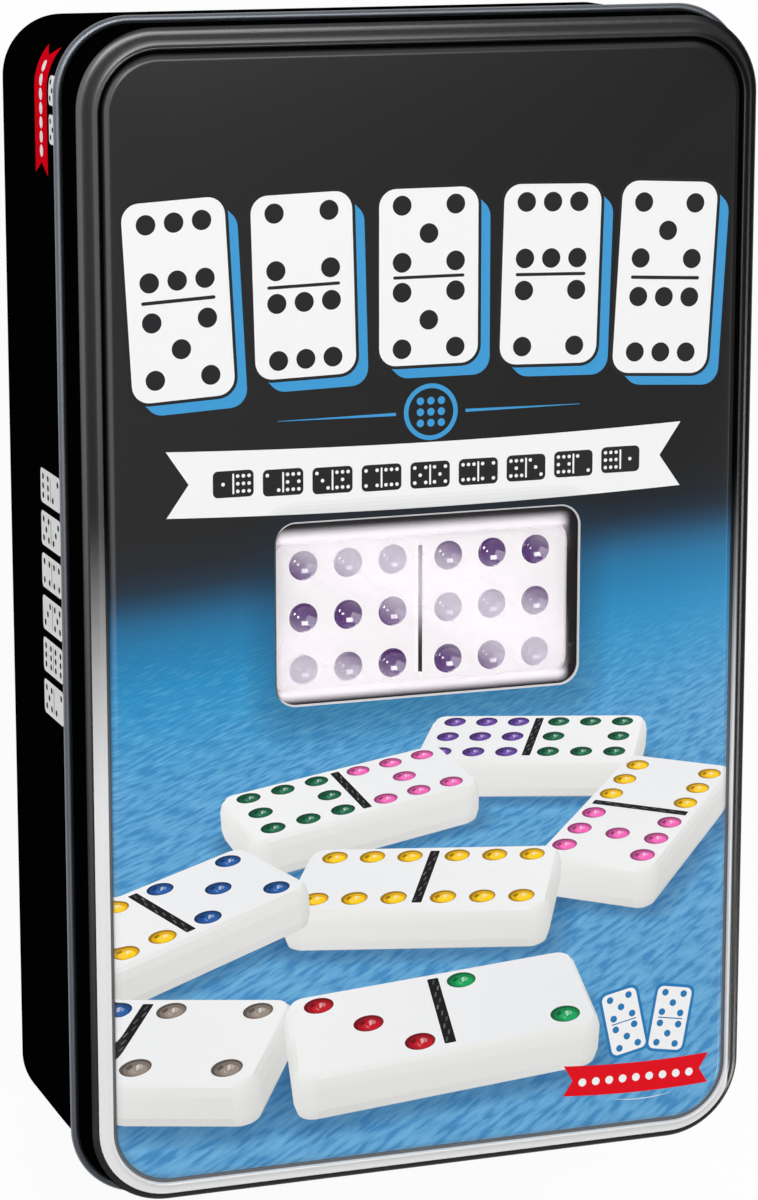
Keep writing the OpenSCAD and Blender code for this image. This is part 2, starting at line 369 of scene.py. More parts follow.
ivory = gloss_coat("tile_ivory", srgb(248, 244, 246), 0.16, 0.5, 0.012, 0.02, 7.0)
tile_groove = gloss_coat("tile_groove_black", (0.005, 0.005, 0.005), 0.5, 0.1, 0.02, 0.2, 2.0)
pip_paint = {
    n: gloss_coat("pip_enamel_%d" % n, colour, 0.08, 1.0, 0.004, 0.1, 3.0, 1.0)
    for n, colour in PIP_COLOURS.items()
}
wall_black = gloss_coat("wall_lacquer_black", (0.0009, 0.0009, 0.001), 0.2, 0.0, 0.004, 0.2, 12.0)
roll_black = gloss_coat("roll_lacquer_black", (0.002, 0.002, 0.0025), 0.26, 1.0, 0.004, 0.2, 12.0)
rim_lacquer_and_shade = ring_coat("rim_lacquer_and_shade", srgb(230, 230, 230), 0.65)
# The groove's grey, darker than the rim, is partly darker paint and partly painted shade in the groove.
groove_paint_and_shade = ring_coat("groove_paint_and_shade", srgb(116, 117, 119), 0.0)
curl_steel = bare_steel("curl_steel", (0.2, 0.215, 0.24), 0.42)
tin_bright = bare_steel("tinplate_inside", (0.62, 0.62, 0.61), 0.34)
hem_white = hem_coat("window_hem_white")
panel_print = print_coat("panel_print")
wall_print = ink_coat("wall_print")
clear_film = film_coat("clear_film")
formed_black = gloss_coat("formed_black_sheet", (0.004, 0.004, 0.005), 0.3, 0.25, 0.05, 0.25, 11.0)

# ---------------------------------------------------------------- meshes

TAU = 2 * math.pi
CORNER_STEPS = 18


def grid_faces(rows, columns, ends_meet=False):
    """Quads between neighbouring loops of a grid; every loop closes on itself."""
    last = rows if ends_meet else rows - 1
    row = np.arange(last)[:, None]
    column = np.arange(columns)[None, :]
    following = (column + 1) % columns
    below = (row + 1) % rows * columns
    here = row * columns
    corners = [here + column, here + following, below + following, below + column]
    return np.stack(np.broadcast_arrays(*corners), -1).reshape(-1, 4)


def volume_of(points, faces):
    """Signed volume that the faces enclose, which is below 0 if they point inwards."""
    total = 0.0
    for face in faces:
        f = np.asarray(face)
        if f.ndim == 1:
            f = f[None, :]
        for k in range(1, f.shape[1] - 1):
            a, b, c = points[f[:, 0]], points[f[:, k]], points[f[:, k + 1]]
            total += np.einsum("ij,ij->i", a, np.cross(b, c)).sum() / 6
    return total


def make_mesh(name, points, faces, paints, face_paint, body, replaced=(), crease=40):
    """One piece from points in millimetres. faces is a list of index arrays, one per block of
    equal faces, and face_paint the material index of each block or of each face."""
    points = np.asarray(points, float)
    if volume_of(points, faces) < 0:
        faces = [np.asarray(f)[..., ::-1] for f in faces]
    corners, starts, totals, index = [], [], [], []
    at = 0
    for block, paint in zip(faces, face_paint):
        block = np.atleast_2d(np.asarray(block))
        count, width = block.shape
        corners.append(block.reshape(-1))
        starts.append(at + np.arange(count) * width)
        totals.append(np.full(count, width))
        index.append(np.broadcast_to(np.asarray(paint), (count,)))
        at += count * width
    corners, starts = np.concatenate(corners), np.concatenate(starts)
    totals, index = np.concatenate(totals), np.concatenate(index)
    mesh = bpy.data.meshes.new(name)
    mesh.vertices.add(len(points))
    mesh.vertices.foreach_set("co", (points * MM).astype(np.float32).ravel())
    mesh.loops.add(len(corners))
    mesh.loops.foreach_set("vertex_index", corners.astype(np.int32))
    mesh.polygons.add(len(starts))
    mesh.polygons.foreach_set("loop_start", starts.astype(np.int32))
    mesh.polygons.foreach_set("loop_total", totals.astype(np.int32))
    for paint in paints:
        mesh.materials.append(paint)
    mesh.polygons.foreach_set("material_index", index.astype(np.int32))
    mesh.polygons.foreach_set("use_smooth", np.ones(len(starts), bool))
    mesh.update(calc_edges=True)
    mesh.validate()
    mesh.set_sharp_from_angle(angle=math.radians(crease))
    piece = bpy.data.objects.new(name, mesh)
    bpy.context.scene.collection.objects.link(piece)
    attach(piece, body)
    if replaced:
        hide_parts(*replaced)
    return piece


def rounded_loops(half_w, half_l, radius, z, middle=(0.0, 0.0)):
    """Loops round rounded rectangles, one for each entry of the arrays: a quarter circle of the
    radius about each corner's centre, point = centre + radius (cos a, sin a)."""
    half_w, half_l, radius, z = np.broadcast_arrays(half_w, half_l, radius, z)
    quarter = np.repeat(np.arange(4), CORNER_STEPS + 1)
    step = np.tile(np.linspace(0, math.pi / 2, CORNER_STEPS + 1), 4)
    angle = quarter * math.pi / 2 + step
    side_x = np.where((quarter == 0) | (quarter == 3), 1, -1)
    side_y = np.where(quarter < 2, 1, -1)
    r = radius[:, None]
    x = middle[0] + side_x * (half_w[:, None] - r) + r * np.cos(angle)
    y = middle[1] + side_y * (half_l[:, None] - r) + r * np.sin(angle)
    return np.stack([x, y, np.broadcast_to(z[:, None], x.shape)], -1)


def flowing(points, steps=5):
    """Smooth line through the points: a Catmull-Rom spline, cubic between neighbours."""
    p = np.asarray(points, float)
    p = np.vstack([2 * p[0] - p[1], p, 2 * p[-1] - p[-2]])
    t = np.linspace(0, 1, steps, endpoint=False)[None, :, None]
    a, b, c, d = (p[i : len(p) - 3 + i, None, :] for i in range(4))
    line = 0.5 * (
        2 * b + (c - a) * t + (2 * a - 5 * b + 4 * c - d) * t**2 + (3 * b - a - 3 * c + d) * t**3
    )
    return np.vstack([line.reshape(-1, 2), p[-2]])


def shifted(line, distance):
    """The line moved by the distance to the right of its own direction."""
    d = np.gradient(line, axis=0)
    d /= np.linalg.norm(d, axis=1, keepdims=True)
    return line + distance * np.stack([d[:, 1], -d[:, 0]], -1)


def arc(middle, radius, start, end, count):
    """Points of a circle, by angle in degrees."""
    a = np.radians(np.linspace(start, end, count))
    return np.stack([middle[0] + radius * np.cos(a), middle[1] + radius * np.sin(a)], -1)


# ---------------------------------------------------------------- lid

PANEL_IN = 4.75
PRINT_T = 0.02
ROLL_IN = 1.15
GROOVE_IN = 3.12
# Heights under the panel: the roll's lower limit in colour and in shape, the skirt's straight
# part's end, and the middle of the curl.
ROLL_LOW, ROLL_FOOT, SKIRT_END, CURL_Z = -0.88, -1.5, -8.3, -8.9


def lid_corner(depth, z):
    """Corner radius of the lid's loops: LID_R at the curl, growing evenly by LID_GROWS up to the
    roll's foot, less the distance in from the skirt."""
    rise = np.clip((z - CURL_Z) / (ROLL_FOOT - CURL_Z), 0, 1)
    return LID_R + LID_GROWS * rise - depth


# Section of the bevel round the panel: depth in from the skirt, and height from the panel.
BEVEL = np.array([
    (4.75, 0.0), (4.6, -0.02), (4.45, -0.07), (4.25, -0.16), (4.05, -0.26), (3.9, -0.36),
    (3.78, -0.5), (3.7, -0.66), (3.65, -0.8),
])
PRINT_IN = BEVEL[-1, 0]


def lid_loops(depth, z):
    """Loops of the lid at a depth in from the skirt. Ridge, groove and panel sit a little towards
    the near right corner of the roll."""
    depth, z = np.broadcast_arrays(np.atleast_1d(depth), np.atleast_1d(z))
    slip = np.clip((depth - 0.9) / 1.3, 0, 1) * (z > ROLL_FOOT)
    return rounded_loops(
        LID_W / 2 - depth, LID_L / 2 - depth - SLIP_L * slip, lid_corner(depth, z), TIN_H + z,
        (SLIP_X * slip[:, None], SLIP_Y * slip[:, None]),
    )


def bevel_drop(depth):
    """Fall of the printed panel over its bevel, straight between the section's points."""
    return np.interp(depth, BEVEL[::-1, 0], -BEVEL[::-1, 1])


def build_lid():
    """One closed sheet. Its section is a line from the window's hem over the panel, bevel, groove,
    ridge, valley, roll and skirt into the curl, and back 0.3 mm inside; the section is carried
    round rounded rectangles. Depth is measured in from the skirt, and z from the panel."""
    top = flowing(
        [(3.62, -0.92), (3.54, -1.02), (3.4, -1.06), (3.26, -0.98), (3.16, -0.75), (3.07, -0.42),
         (2.96, -0.2), (2.8, -0.12), (2.65, -0.16), (2.4, -0.29), (2.1, -0.39), (1.8, -0.44),
         (1.5, -0.46), (1.2, -0.48), (0.9, -0.54), (0.62, -0.64), (0.35, -0.77), (0.15, -0.92),
         (0.04, -1.1), (0.0, -1.4), (0.0, -3.5), (0.0, -6.5), (0.0, SKIRT_END)]
    )
    top = np.vstack([BEVEL[1:] - (0, 2 * PRINT_T), top])
    curl = arc((-0.49, CURL_Z), 0.7, 42, 335, 26)
    inner = shifted(top, -SHEET)[::-1]
    section = np.vstack([
        [(PANEL_IN, -PRINT_T)], top, curl, [(SHEET, CURL_Z + 0.1)], inner, [(PANEL_IN, -SHEET)],
    ])
    rows = lid_loops(section[:, 0], section[:, 1])
    fold = arc((SHEET, -SHEET), SHEET, 270, 90, 9)
    hem = np.vstack([[(WINDOW_HEM, -SHEET), (WINDOW_HEM, -2 * SHEET)], fold])
    grow = hem[:, 0]
    hem_rows = rounded_loops(
        WINDOW["w"] / 2 + grow, WINDOW["l"] / 2 + grow, WINDOW["r"] + grow,
        TIN_H + np.minimum(hem[:, 1], -PRINT_T), (WINDOW["x"], WINDOW["y"]),
    )
    loops = np.concatenate([rows, hem_rows])
    count, width = loops.shape[:2]
    faces = grid_faces(count, width, ends_meet=True)
    paints = [rim_lacquer_and_shade, groove_paint_and_shade, roll_black, wall_black, tin_bright, curl_steel, hem_white]
    rim, groove, roll, skirt, inside, curled, folded = range(len(paints))
    # Material of each band between two loops.
    band = np.full(count, inside)
    outer_end = 1 + len(top)
    band[0] = rim
    for i in range(1, outer_end - 1):
        middle, height = (section[i] + section[i + 1]) / 2
        # Bands in the groove take the grey that is partly painted shade.
        if middle > GROOVE_IN:
            band[i] = groove
        elif middle > ROLL_IN:
            band[i] = rim
        else:
            band[i] = roll if height > ROLL_LOW else skirt
    band[outer_end - 1 : outer_end + len(curl)] = curled
    band[len(rows) + 1 :] = folded
    make_mesh(
        "lid_tinplate", loops.reshape(-1, 3), [faces], paints,
        [np.repeat(band, width)], "lid", ["lid_shell"], 50,
    )


def build_pane():
    """Clear plate behind the window, its edges rounded: loops of rounded rectangles from its
    upper face, round its rim, to its lower face. Quads join each face's left and right side."""
    rim = arc((0.0, 0.0), PANE_HALF, 90, -90, 7)
    grow = PANE_REACH - PANE_HALF + rim[:, 0]
    loops = rounded_loops(
        WINDOW["w"] / 2 + grow, WINDOW["l"] / 2 + grow, PANE_R + rim[:, 0], PANE_Z + rim[:, 1],
        (WINDOW["x"], WINDOW["y"]),
    )
    count, width = loops.shape[:2]
    half = width // 2
    k = np.concatenate([np.arange(CORNER_STEPS), half + np.arange(CORNER_STEPS)])
    mirrored = np.where(k < half, half - 1 - k, half + width - 1 - k)
    across = np.stack([k, k + 1, mirrored - 1, mirrored], -1)
    middle = np.array([[0, half - 1, half, width - 1]])
    plate = np.vstack([across, middle])
    under = plate[:, ::-1] + (count - 1) * width
    pane = make_mesh(
        "clear_pane", loops.reshape(-1, 3), [grid_faces(count, width), plate, under],
        [clear_film], [0, 0, 0], "lid", ["window_pane"], 10,
    )
    # The pane casts no shadow, so that its painted glare doesn't darken the domino under it.
    pane.visible_shadow = False


def base_corner(z):
    """Corner radius of the base at height z: BASE_R low down, opening evenly to the mouth."""
    return BASE_R + BASE_OPENS * np.clip((z - 20) / 25, 0, 1)


def build_base():
    """One closed sheet: hem, straight wall, bend, foot rim and raised floor, carried round
    rounded rectangles whose corners open a little towards the mouth."""
    outer = np.vstack([
        arc((0.3, -0.3), 0.3, 90, 180, 6) + (0, BASE_H),
        [(0, 44.0), (0, 38.0), (0, 20.0), (0, 6.0), (0, 2.0)],
        arc((2.0, 2.0), 2.0, 180, 270, 9)[1:],
        flowing([(4.5, 0), (5.35, 0.03), (5.75, 0.25), (6.1, 0.47), (6.9, 0.5), (9, 0.5)], 3),
    ])
    mouth = np.vstack([
        [(0.3, 44.0), (0.3, BASE_H - BASE_HEM), (0.6, BASE_H - BASE_HEM)],
        arc((0.3, -0.3), 0.3, 0, 90, 6)[:-1] + (0, BASE_H),
    ])
    inner = np.vstack([
        [(9, 0.8), (6.9, 0.8), (6.0, 0.72), (5.5, 0.4), (4.5, 0.3)],
        arc((2.0, 2.0), 1.7, 270, 180, 8),
        mouth,
    ])
    section = np.vstack([outer, inner])
    depth, z = section[:, 0], section[:, 1]
    loops = rounded_loops(BASE_W / 2 - depth, BASE_L / 2 - depth, base_corner(z) - depth, z)
    count, width = loops.shape[:2]
    faces = grid_faces(count, width, ends_meet=True)
    floor_row = len(outer) - 1
    keep = np.ones(count, bool)
    keep[floor_row] = False
    under = floor_row * width + np.arange(width)
    over = (floor_row + 1) * width + np.arange(width)
    # Black outside and round the mouth, bare tinplate inside.
    band = np.where(np.arange(count) < floor_row, 0, 1)
    band[-len(mouth) :] = 0
    faces = faces.reshape(count, width, 4)[keep].reshape(-1, 4)
    make_mesh(
        "base_tinplate", loops.reshape(-1, 3), [faces, under[::-1], over],
        [wall_black, tin_bright], [np.repeat(band[keep], width), 0, 1],
        "base", ["base_shell"], 50,
    )


# ---------------------------------------------------------------- tray and cover


def build_tray():
    """Formed sheet: flange, rounded shoulder, drafted wall and rounded floor, loop by loop."""
    wall, flange_in = (FORMED_W - HOLLOW_W) / 2, 1.3
    bend, floor = 0.9, TRAY_Z + FORMED_T

    def side(top, thick):
        """One side of the sheet, as growth of the hollow's outline and height."""
        return np.vstack([
            [(wall, top), (flange_in, top)],
            arc((bend, -bend), bend - thick, 90, 180, 7) + (0, TRAY_TOP),
            arc((-bend, bend), bend + thick, 0, -90, 6) + (0, floor),
        ])

    rows_top = side(TRAY_TOP, 0.0)
    under = side(TRAY_TOP - FORMED_T, FORMED_T)[::-1]
    section = np.vstack([rows_top, under])
    grow, z = section[:, 0], section[:, 1]
    flange = np.clip((grow - flange_in) / (wall - flange_in), 0, 1)
    radius = np.maximum(HOLLOW_R + grow, 1.0) * (1 - flange) + FLANGE_R * flange
    half_w = HOLLOW_W / 2 + grow
    half_l = HOLLOW_L / 2 + np.where(flange > 0, grow * (FORMED_L - HOLLOW_L) / (2 * wall), grow)
    loops = rounded_loops(half_w, half_l, radius, z)
    count, width = loops.shape[:2]
    faces = grid_faces(count, width, ends_meet=True).reshape(count, width, 4)
    floor_row = len(rows_top) - 1
    keep = np.ones(count, bool)
    keep[floor_row] = False
    inside = floor_row * width + np.arange(width)
    below = (floor_row + 1) * width + np.arange(width)
    make_mesh(
        "formed_tray", loops.reshape(-1, 3), [faces[keep].reshape(-1, 4), inside, below[::-1]],
        [formed_black], [0, 0, 0], "tray", ["insert_tray"], 50,
    )


def outline_rays(outline, angles):
    """Where rays from the middle meet a star-shaped outline, at each angle."""
    at = np.arctan2(outline[:, 1], outline[:, 0]) % TAU
    order = np.argsort(at)
    at, ring = at[order], outline[order]
    at = np.concatenate([at[-1:] - TAU, at, at[:1] + TAU])
    ring = np.concatenate([ring[-1:], ring, ring[:1]])
    return np.stack([np.interp(angles, at, ring[:, i]) for i in range(2)], -1)


def box_outline(half_w, half_l, radius):
    """Dense rounded rectangle, straight sides included."""
    loop = rounded_loops([half_w], [half_l], [radius], [0.0])[0][:, :2]
    following = np.roll(loop, -1, 0)
    share = np.linspace(0, 1, 12, endpoint=False)[None, :, None]
    return (loop[:, None] * (1 - share) + following[:, None] * share).reshape(-1, 2)


def pocket_outline(grow):
    """Pocket for the shown domino: its rounded rectangle with a thumb notch at each end. Where
    a ray leaves both the rectangle and a notch's circle, the further crossing counts."""
    end, notch = TILE_L / 2 + POCKET_PLAY, NOTCH_R + grow
    box = box_outline(end + grow, TILE_W / 2 + POCKET_PLAY + grow, TILE_CORNER + POCKET_PLAY + grow)
    a = np.linspace(0, TAU, 1440, endpoint=False)
    rim = outline_rays(box, a)
    reach = np.hypot(rim[:, 0], rim[:, 1])
    for side in (-1, 1):
        along = side * end * np.cos(a)
        inside = notch**2 - (side * end * np.sin(a)) ** 2
        far = np.where(inside > 0, along + np.sqrt(np.maximum(inside, 0)), 0)
        reach = np.maximum(reach, far)
    return np.stack([reach * np.cos(a), reach * np.sin(a)], -1)


def build_cover():
    """Formed sheet over the dominoes, loop by loop along shared rays: flange, cove, deck wall,
    rounded shoulder, deck, pocket shoulder, pocket wall and pocket floor; then back underneath."""
    # Rays all round, through every corner's points, and closer together over the thumb notches.
    notch = 0.31
    corners = [
        rounded_loops([w], [l], [r], [0.0])[0] for w, l, r in (
            (FORMED_W / 2, FORMED_L / 2, FLANGE_R), (DECK_W / 2, DECK_L / 2, DECK_R),
            (TILE_L / 2 + POCKET_PLAY, TILE_W / 2 + POCKET_PLAY, TILE_CORNER + POCKET_PLAY),
        )
    ]
    rays = [np.linspace(0, TAU, 180, endpoint=False)]
    rays += [np.arctan2(loop[:, 1], loop[:, 0]) for loop in corners]
    rays += [np.linspace(-notch, notch, 33), np.linspace(math.pi - notch, math.pi + notch, 33)]
    angles = np.unique(np.round(np.concatenate(rays) % TAU, 4))

    def deck(grow):
        return box_outline(DECK_W / 2 + grow, DECK_L / 2 + grow, DECK_R + grow)

    # Radii of the deck's cove and shoulder, of the pocket's lip, on top and underneath, and of the
    # bend at its floor.
    bend, lip, lip_under, foot = 1.0, 0.7, 1.0, 0.5
    edge = box_outline(FORMED_W / 2, FORMED_L / 2, FLANGE_R)
    top, low = DECK_Z, COVER_Z + FORMED_T
    rows = [(edge, low)]
    rows += [(deck(FORMED_T + dx), low + dz) for dx, dz in arc((bend, bend), bend, 270, 180, 6)]
    rows += [(deck(FORMED_T - bend + dx), top + dz - bend) for dx, dz in arc((0, 0), bend, 0, 90, 7)]
    rows += [(pocket_outline(lip + dx), top - lip + dz) for dx, dz in arc((0, 0), lip, 90, 180, 6)]
    rows += [(pocket_outline(dx), low + dz) for dx, dz in arc((-foot, foot), foot, 0, -90, 5)]
    count_top = len(rows)
    top, low = DECK_Z - FORMED_T, COVER_Z
    rows += [
        (pocket_outline(FORMED_T + dx), low + dz) for dx, dz in arc((-foot, foot), foot, -90, 0, 5)
    ]
    rows += [(pocket_outline(lip_under + dx), top - lip + dz) for dx, dz in arc((0, 0), lip, 180, 90, 6)]
    rows += [(deck(-bend + dx), top + dz - bend) for dx, dz in arc((0, 0), bend, 90, 0, 7)]
    rows += [(deck(dx), low + dz) for dx, dz in arc((bend, bend), bend, 180, 270, 6)]
    rows += [(edge, low)]
    loops = np.stack([
        np.column_stack([outline_rays(line, angles), np.full(len(angles), z)]) for line, z in rows
    ])
    count, width = loops.shape[:2]
    faces = grid_faces(count, width, ends_meet=True).reshape(count, width, 4)
    keep = np.ones(count, bool)
    keep[count_top - 1] = False
    inside = (count_top - 1) * width + np.arange(width)
    below = count_top * width + np.arange(width)
    make_mesh(
        "formed_cover", loops.reshape(-1, 3), [faces[keep].reshape(-1, 4), inside, below[::-1]],
        [formed_black], [0, 0, 0], "cover", ["tray_cover"], 45,
    )


# ---------------------------------------------------------------- dominoes


def pip_spots(n):
    """Places of a half's pips, in steps of the pitch from its middle."""
    spots = [(0, 0)] if n % 2 else []
    if n > 1:
        spots += [(-1, 1), (1, -1)]
    if n > 3:
        spots += [(-1, -1), (1, 1)]
    if n > 5:
        spots += [(0, -1), (0, 1)]
    if n > 7:
        spots += [(-1, 0), (1, 0)]
    return spots


def cell_rings(x_line, y_line, centre, pip, rings):
    """Points of one cell, ring by ring from its middle out: rings of the dimple, its rounded lip,
    and the cell's edge. The dimple is part of a ball: z = ball - depth - sqrt(ball^2 - r^2)."""
    edge = np.array(
        [(x, y_line[0]) for x in x_line[:-1]] + [(x_line[-1], y) for y in y_line[:-1]]
        + [(x, y_line[-1]) for x in x_line[:0:-1]] + [(x_line[0], y) for y in y_line[:0:-1]]
    )
    away = edge - centre
    angle = np.arctan2(away[:, 1], away[:, 0])
    unit = np.stack([np.cos(angle), np.sin(angle)], -1)
    loops = []
    sink, lip_in, lip_out = 0.02, 0.1, 0.12
    if pip:
        ball = (PIP_R**2 + PIP_DEPTH**2) / (2 * PIP_DEPTH)
        share = np.sin(np.linspace(0, math.pi / 2, rings + 1)[1:] * 0.93)
        for s in share / share[-1]:
            r = s * (PIP_R - lip_in)
            z = ball - PIP_DEPTH - math.sqrt(ball**2 - r**2)
            loops.append((centre + r * unit, z - sink))
        loops.append((centre + (PIP_R - 0.02) * unit, -0.035))
        loops.append((centre + (PIP_R + lip_out) * unit, 0.0))
        middle_z = -PIP_DEPTH - sink
    else:
        loops.append((centre + PIP_R * 0.9 * unit, 0.0))
        middle_z = 0.0
    loops.append((edge, 0.0))
    points = np.concatenate([np.column_stack([p, np.full(len(p), z)]) for p, z in loops])
    return np.vstack([[(*centre, middle_z)], points]), len(edge), len(loops)


# Where a domino's flat face ends, where its middle strip ends, and the lines between its pips.
FACE_END = np.array([TILE_L / 2 - TILE_EDGE, TILE_W / 2 - TILE_EDGE])
STRIP, CELL_1, CELL_2 = np.round(HALF_CENTRE + PITCH_L * np.array([-1.5, -0.5, 0.5]), 6)


class Patches:
    """Points and faces gathered patch by patch. A patch's faces count from its own first point."""

    def __init__(self):
        self.points, self.count = [], 0
        self.faces, self.paint = {3: [], 4: []}, {3: [], 4: []}

    def add(self, points, *blocks):
        for faces, paint in blocks:
            sides = faces.shape[1]
            self.faces[sides].append(faces + self.count)
            self.paint[sides].append(np.broadcast_to(paint, (len(faces),)))
        self.points.append(points)
        self.count += len(points)


def cut_line(breaks, steps):
    """Places along a line, with steps even parts between each two breaks."""
    parts = [np.linspace(p, q, steps + 1)[:-1] for p, q in zip(breaks, breaks[1:])]
    return np.append(np.concatenate(parts), breaks[-1])


def tile_lines(steps):
    """Lines along and across a half's face that cut it into three by three cells, steps parts to
    a cell. Two of the lines across are brought to the groove's ends."""
    x_line = cut_line([STRIP, CELL_1, CELL_2, FACE_END[0]], steps)
    y_line = cut_line([-FACE_END[1], -PITCH_W / 2, PITCH_W / 2, FACE_END[1]], steps)
    last = int(np.argmin(np.abs(y_line - (GROOVE_END + 0.05))))
    y_line[last] = GROOVE_END
    y_line[len(y_line) - 1 - last] = -GROOVE_END
    return x_line, y_line


def middle_strip(y_line):
    """Strip across a domino's middle: flat at both sides, with the groove's slopes and bottom in
    between. Gives its columns, points and faces, and 1 for each face inside the groove."""
    half = GROOVE_HALF
    columns = np.array([
        -STRIP, -half - 0.06, -half, -half + 0.09, 0.0, half - 0.09, half, half + 0.06, STRIP,
    ])
    drop = np.array([0, 0, -0.06, -0.3, -GROOVE_DEEP, -0.3, -0.06, 0, 0])
    rows, n = len(y_line), len(columns)
    grooved = (np.abs(y_line) < GROOVE_END + 0.01)[:, None] * drop[None, :]
    points = np.stack([
        np.broadcast_to(columns, (rows, n)), np.broadcast_to(y_line[:, None], (rows, n)), grooved,
    ], -1)
    corner = np.arange(rows - 1)[:, None] * n + np.arange(n - 1)[None, :]
    faces = np.stack([corner, corner + 1, corner + n + 1, corner + n], -1)
    inside = (np.abs(y_line[:-1] + y_line[1:]) / 2 < GROOVE_END + 0.1)[:, None]
    column = np.arange(n - 1)[None, :]
    dark = inside & (column > 0) & (column < n - 2)
    return columns, points.reshape(-1, 3), faces.reshape(-1, 4), np.where(dark, 1, 0).ravel()


def drawn_in(points):
    """Points of a domino's face, with those past a corner's centre drawn in so that the outermost
    lie on its arc, and how far each one's way out goes along X and Y."""
    plan_r = TILE_CORNER - TILE_EDGE
    core = FACE_END - plan_r
    reach = np.abs(points[:, :2]) - core
    corner = (reach > 0).all(1)
    length = np.where(corner, np.linalg.norm(reach, axis=1), 1.0)
    span = np.maximum(reach.max(1), 1e-9)
    scaled = core + reach * np.minimum(plan_r, span)[:, None] / length[:, None]
    moved = points.copy()
    moved[corner, :2] = np.sign(points[corner, :2]) * scaled[corner]
    return moved, np.where(corner[:, None], reach / length[:, None], reach > plan_r - 1e-6)


def tile_sides(x_line, y_line):
    """Loops from the face's rim over the rounded edge, down the sides and round to the underside:
    out = r sin t, down = r (1 - cos t)."""
    x_end, y_end = FACE_END
    rim = np.array(
        [(x, -y_end) for x in x_line[:-1]] + [(x_end, y) for y in y_line[:-1]]
        + [(x, y_end) for x in x_line[:0:-1]] + [(-x_end, y) for y in y_line[:0:-1]]
    )
    rim, outward = drawn_in(rim)
    outward = np.sign(rim) * outward
    outward /= np.linalg.norm(outward, axis=1, keepdims=True)
    t = np.linspace(0, math.pi / 2, 7)[1:]
    out, down = TILE_EDGE * np.sin(t), TILE_EDGE * (1 - np.cos(t))
    out = np.concatenate([[0], out, out[::-1], [0]])
    z = np.concatenate([[0], -down, down[::-1] - TILE_T, [-TILE_T]])
    return np.stack([
        np.column_stack([rim + outward * o, np.full(len(rim), h)]) for o, h in zip(out, z)
    ])


def tile_mesh(a, b, steps, rings):
    """A domino lying on z = 0 along X: points, quads, triangles, underside, and the paint of quads
    and triangles. Its face is cut into nine cells a half. In each a middle point, round rings
    and the cell's own edge are joined. The strip with the groove lies between the halves."""
    x_line, y_line = tile_lines(steps)
    shell = Patches()
    for side, value in ((-1, a), (1, b)):
        spots = pip_spots(value)
        for i in range(3):
            for j in range(3):
                xs = x_line[i * steps : (i + 1) * steps + 1]
                xs = xs if side > 0 else -xs[::-1]
                ys = y_line[j * steps : (j + 1) * steps + 1]
                centre = np.array([side * (HALF_CENTRE + (i - 1) * PITCH_L), (j - 1) * PITCH_W])
                pip = ((i - 1) * side, j - 1) in spots
                block, width, loops = cell_rings(xs, ys, centre, pip, rings)
                enamel = 2 + (side > 0) if pip else 0
                ring = 1 + np.arange(width)
                fan = np.stack([np.zeros(width, int), ring, np.roll(ring, -1)], -1)
                quads = grid_faces(loops, width) + 1
                dimple = np.arange(len(quads)) < (loops - 2) * width
                shell.add(block, (fan, enamel), (quads, np.where(dimple, enamel, 0)))
    columns, points, faces, dark = middle_strip(y_line)
    shell.add(points, (faces, dark))
    sides = tile_sides(np.concatenate([-x_line[::-1], columns[1:-1], x_line]), y_line)
    count, width = sides.shape[:2]
    underside = shell.count + (count - 1) * width + np.arange(width)
    shell.add(sides.reshape(-1, 3), (grid_faces(count, width)[:, ::-1], 0))
    points = np.concatenate(shell.points)
    on_face = (points[:, 2] > -0.4) & (np.abs(points[:, :2]) <= FACE_END + 1e-9).all(1)
    points[on_face] = drawn_in(points)[0][on_face]
    # Points that meet are made one.
    _, first, same = np.unique(np.round(points, 4), axis=0, return_index=True, return_inverse=True)
    same = same.ravel()
    quads, tris = (same[np.concatenate(shell.faces[n])] for n in (4, 3))
    quad_paint, tri_paint = (np.concatenate(shell.paint[n]) for n in (4, 3))
    return points[first] + (0, 0, TILE_T), quads, tris, same[underside][::-1], quad_paint, tri_paint


def build_dominoes():
    """Every domino of the set at its place: the shown one in the cover's pocket, the others
    layer by layer in the tray, columns along the box first and a pair across the near end last."""
    near = -HOLLOW_L / 2 + TILE_GAP
    for i, (a, b) in enumerate(SET):
        layer, spot = divmod(i, PER_LAYER)
        lengthwise = i != SHOWN and spot < COLUMNS * ROWS
        if i == SHOWN:
            place, body = (0.0, 0.0, SHOWN_Z), "shown_domino"
        elif lengthwise:
            row, column = divmod(spot, COLUMNS)
            x = (column - (COLUMNS - 1) / 2) * (TILE_W + TILE_GAP)
            y = near + TILE_W + TILE_L / 2 + TILE_GAP + row * (TILE_L + TILE_GAP)
            place, body = (x, y, LAYER_Z[layer]), "layer_%d" % (layer + 1)
        else:
            x = (spot - COLUMNS * ROWS - 0.5) * (TILE_L + TILE_GAP)
            place, body = (x, near + TILE_W / 2, LAYER_Z[layer]), "layer_%d" % (layer + 1)
        detail = (12, 9) if i == SHOWN else (5, 4)
        points, quads, tris, bottom, quad_paint, tri_paint = tile_mesh(a, b, *detail)
        if lengthwise:
            points = np.stack([-points[:, 1], points[:, 0], points[:, 2]], -1)
        paints = [ivory, tile_groove, pip_paint.get(a, ivory), pip_paint.get(b, ivory)]
        name = "domino_%d_%d" % (a, b)
        make_mesh(
            "piece_" + name, points + place, [quads, tris, bottom], paints,
            [quad_paint, tri_paint, 0], body, [name], 60,
        )


# ---------------------------------------------------------------- print


def ink(outline, fill):
    """One printed shape: its outline, and a colour with alpha, a function of the points, or
    None where it takes off what lies under it."""
    outline = np.asarray(outline, float)
    twice = (outline[:, 0] * np.roll(outline[:, 1], -1) - outline[:, 1] * np.roll(outline[:, 0], -1)).sum()
    return (outline if twice > 0 else outline[::-1]), fill


